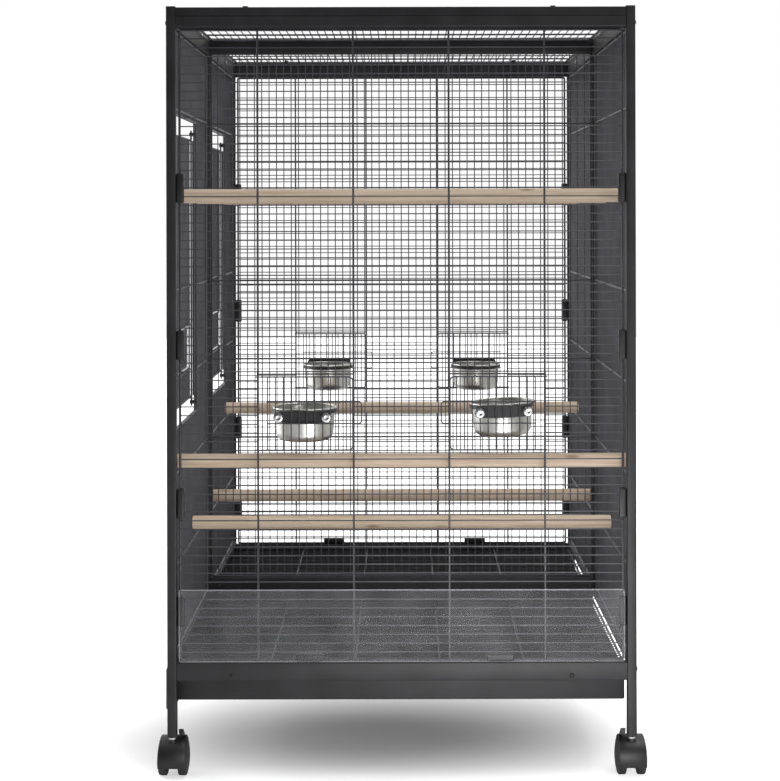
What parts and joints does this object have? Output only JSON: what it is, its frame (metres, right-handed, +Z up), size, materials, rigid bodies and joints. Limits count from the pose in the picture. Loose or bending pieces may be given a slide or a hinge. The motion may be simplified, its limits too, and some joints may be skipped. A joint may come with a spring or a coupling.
{
  "type": "aviary",
  "caption": "Tall divided flight cage on casters, with wire panels, side access doors, swing-out feeders, perches and pull-out trays.",
  "frame": {"origin": "on the floor, under the middle of the cage, which is the bottom centre of its box", "axes": "+Z up; +X across the short end, with the large doors at -X; +Y along the length, from the end with the seed guard at -Y"},
  "size_m": [0.788, 0.9942, 1.236],
  "materials": {
    "powder_coated_steel": "satin charcoal powder coat",
    "stainless_steel": "bright spun stainless steel",
    "black_plastic": "moulded black plastic",
    "caster_tread": "moulded dark tread",
    "turned_pine": "bare turned pine",
    "clear_acrylic": "clear acrylic sheet"
  },
  "bodies": {
    "root": {"post_front_left": "powder_coated_steel", "post_front_right": "powder_coated_steel", "post_back_left": "powder_coated_steel", "post_back_right": "powder_coated_steel", "middle_frame": "powder_coated_steel", "top_bar_front": "powder_coated_steel", "bottom_bar_front": "powder_coated_steel", "top_bar_back": "powder_coated_steel", "bottom_bar_back": "powder_coated_steel", "top_rail_left": "powder_coated_steel", "bottom_rail_left": "powder_coated_steel", "top_rail_right": "powder_coated_steel", "bottom_rail_right": "powder_coated_steel", "end_panel_front": "powder_coated_steel", "side_panel_left_front": "powder_coated_steel", "side_panel_right_front": "powder_coated_steel", "roof_panel_front": "powder_coated_steel", "end_panel_back": "powder_coated_steel", "side_panel_left_back": "powder_coated_steel", "side_panel_right_back": "powder_coated_steel", "roof_panel_back": "powder_coated_steel", "divider_panel": "powder_coated_steel", "seed_guard": "clear_acrylic", "perch_upper_front": "turned_pine", "perch_upper_middle": "turned_pine", "perch_upper_back": "turned_pine", "perch_middle_front": "turned_pine", "perch_middle_back": "turned_pine", "perch_lower_front": "turned_pine", "perch_lower_back": "turned_pine"},
    "access_door_front_body": {"access_door_front": "powder_coated_steel"},
    "door_latch_front_body": {"door_latch_front": "stainless_steel"},
    "access_door_back_body": {"access_door_back": "powder_coated_steel"},
    "door_latch_back_body": {"door_latch_back": "stainless_steel"},
    "feeder_front_left": {"feeder_door_front_left": "powder_coated_steel", "bowl_holder_front_left": "black_plastic", "bowl_front_left": "stainless_steel"},
    "feeder_front_right": {"feeder_door_front_right": "powder_coated_steel", "bowl_holder_front_right": "black_plastic", "bowl_front_right": "stainless_steel"},
    "feeder_back_left": {"feeder_door_back_left": "powder_coated_steel", "bowl_holder_back_left": "black_plastic", "bowl_back_left": "stainless_steel"},
    "feeder_back_right": {"feeder_door_back_right": "powder_coated_steel", "bowl_holder_back_right": "black_plastic", "bowl_back_right": "stainless_steel"},
    "tray_front_body": {"tray_front": "powder_coated_steel"},
    "grate_front_body": {"grate_front": "powder_coated_steel"},
    "tray_back_body": {"tray_back": "powder_coated_steel"},
    "grate_back_body": {"grate_back": "powder_coated_steel"},
    "caster_front_left_body": {"caster_front_left": "black_plastic"},
    "wheels_front_left_body": {"caster_wheels_front_left": "caster_tread"},
    "brake_front_left_body": {"brake_lever_front_left": "black_plastic"},
    "caster_front_right_body": {"caster_front_right": "black_plastic"},
    "wheels_front_right_body": {"caster_wheels_front_right": "caster_tread"},
    "brake_front_right_body": {"brake_lever_front_right": "black_plastic"},
    "caster_back_left_body": {"caster_back_left": "black_plastic"},
    "wheels_back_left_body": {"caster_wheels_back_left": "caster_tread"},
    "caster_back_right_body": {"caster_back_right": "black_plastic"},
    "wheels_back_right_body": {"caster_wheels_back_right": "caster_tread"}
  },
  "joints": [
    {"name": "access_door_front_hinge", "type": "hinge", "parent": "root", "child": "access_door_front_body", "pos_m": [-0.3734, -0.19, 0.8075], "axis": [0, 0, -1], "range_deg": [0, 150]},
    {"name": "door_latch_front_slide", "type": "slide", "parent": "access_door_front_body", "child": "door_latch_front_body", "axis": [0, 1, 0], "range_m": [-0.01, 0]},
    {"name": "access_door_back_hinge", "type": "hinge", "parent": "root", "child": "access_door_back_body", "pos_m": [-0.3734, 0.295, 0.8075], "axis": [0, 0, -1], "range_deg": [0, 150]},
    {"name": "door_latch_back_slide", "type": "slide", "parent": "access_door_back_body", "child": "door_latch_back_body", "axis": [0, 1, 0], "range_m": [-0.01, 0]},
    {"name": "feeder_door_front_left_hinge", "type": "hinge", "parent": "root", "child": "feeder_front_left", "pos_m": [-0.2304, -0.4824, 0.585], "axis": [0, 0, -1], "range_deg": [0, 110]},
    {"name": "feeder_door_front_right_hinge", "type": "hinge", "parent": "root", "child": "feeder_front_right", "pos_m": [0.2304, -0.4824, 0.585], "axis": [0, 0, 1], "range_deg": [0, 110]},
    {"name": "feeder_door_back_left_hinge", "type": "hinge", "parent": "root", "child": "feeder_back_left", "pos_m": [-0.2304, 0.4824, 0.585], "axis": [0, 0, 1], "range_deg": [0, 110]},
    {"name": "feeder_door_back_right_hinge", "type": "hinge", "parent": "root", "child": "feeder_back_right", "pos_m": [0.2304, 0.4824, 0.585], "axis": [0, 0, -1], "range_deg": [0, 110]},
    {"name": "tray_front_slide", "type": "slide", "parent": "root", "child": "tray_front_body", "axis": [-1, 0, 0], "range_m": [0, 0.7]},
    {"name": "grate_front_slide", "type": "slide", "parent": "root", "child": "grate_front_body", "axis": [-1, 0, 0], "range_m": [0, 0.55]},
    {"name": "tray_back_slide", "type": "slide", "parent": "root", "child": "tray_back_body", "axis": [-1, 0, 0], "range_m": [0, 0.7]},
    {"name": "grate_back_slide", "type": "slide", "parent": "root", "child": "grate_back_body", "axis": [-1, 0, 0], "range_m": [0, 0.55]},
    {"name": "caster_front_left_swivel", "type": "hinge", "parent": "root", "child": "caster_front_left_body", "pos_m": [-0.3685, -0.4775, 0.06], "axis": [0, 0, 1], "continuous": true},
    {"name": "caster_front_left_roll", "type": "hinge", "parent": "caster_front_left_body", "child": "wheels_front_left_body", "pos_m": [-0.3685, -0.4635, 0.02875], "axis": [1, 0, 0], "continuous": true},
    {"name": "brake_front_left_press", "type": "hinge", "parent": "caster_front_left_body", "child": "brake_front_left_body", "pos_m": [-0.35289, -0.4635, 0.0648], "axis": [1, 0, 0], "range_deg": [0, 17]},
    {"name": "caster_front_right_swivel", "type": "hinge", "parent": "root", "child": "caster_front_right_body", "pos_m": [0.3685, -0.4775, 0.06], "axis": [0, 0, 1], "continuous": true},
    {"name": "caster_front_right_roll", "type": "hinge", "parent": "caster_front_right_body", "child": "wheels_front_right_body", "pos_m": [0.3685, -0.4635, 0.02875], "axis": [1, 0, 0], "continuous": true},
    {"name": "brake_front_right_press", "type": "hinge", "parent": "caster_front_right_body", "child": "brake_front_right_body", "pos_m": [0.35289, -0.4635, 0.0648], "axis": [1, 0, 0], "range_deg": [0, 17]},
    {"name": "caster_back_left_swivel", "type": "hinge", "parent": "root", "child": "caster_back_left_body", "pos_m": [-0.3685, 0.4775, 0.06], "axis": [0, 0, 1], "continuous": true},
    {"name": "caster_back_left_roll", "type": "hinge", "parent": "caster_back_left_body", "child": "wheels_back_left_body", "pos_m": [-0.3685, 0.4635, 0.02875], "axis": [1, 0, 0], "continuous": true},
    {"name": "caster_back_right_swivel", "type": "hinge", "parent": "root", "child": "caster_back_right_body", "pos_m": [0.3685, 0.4775, 0.06], "axis": [0, 0, 1], "continuous": true},
    {"name": "caster_back_right_roll", "type": "hinge", "parent": "caster_back_right_body", "child": "wheels_back_right_body", "pos_m": [0.3685, 0.4635, 0.02875], "axis": [1, 0, 0], "continuous": true}
  ]
}
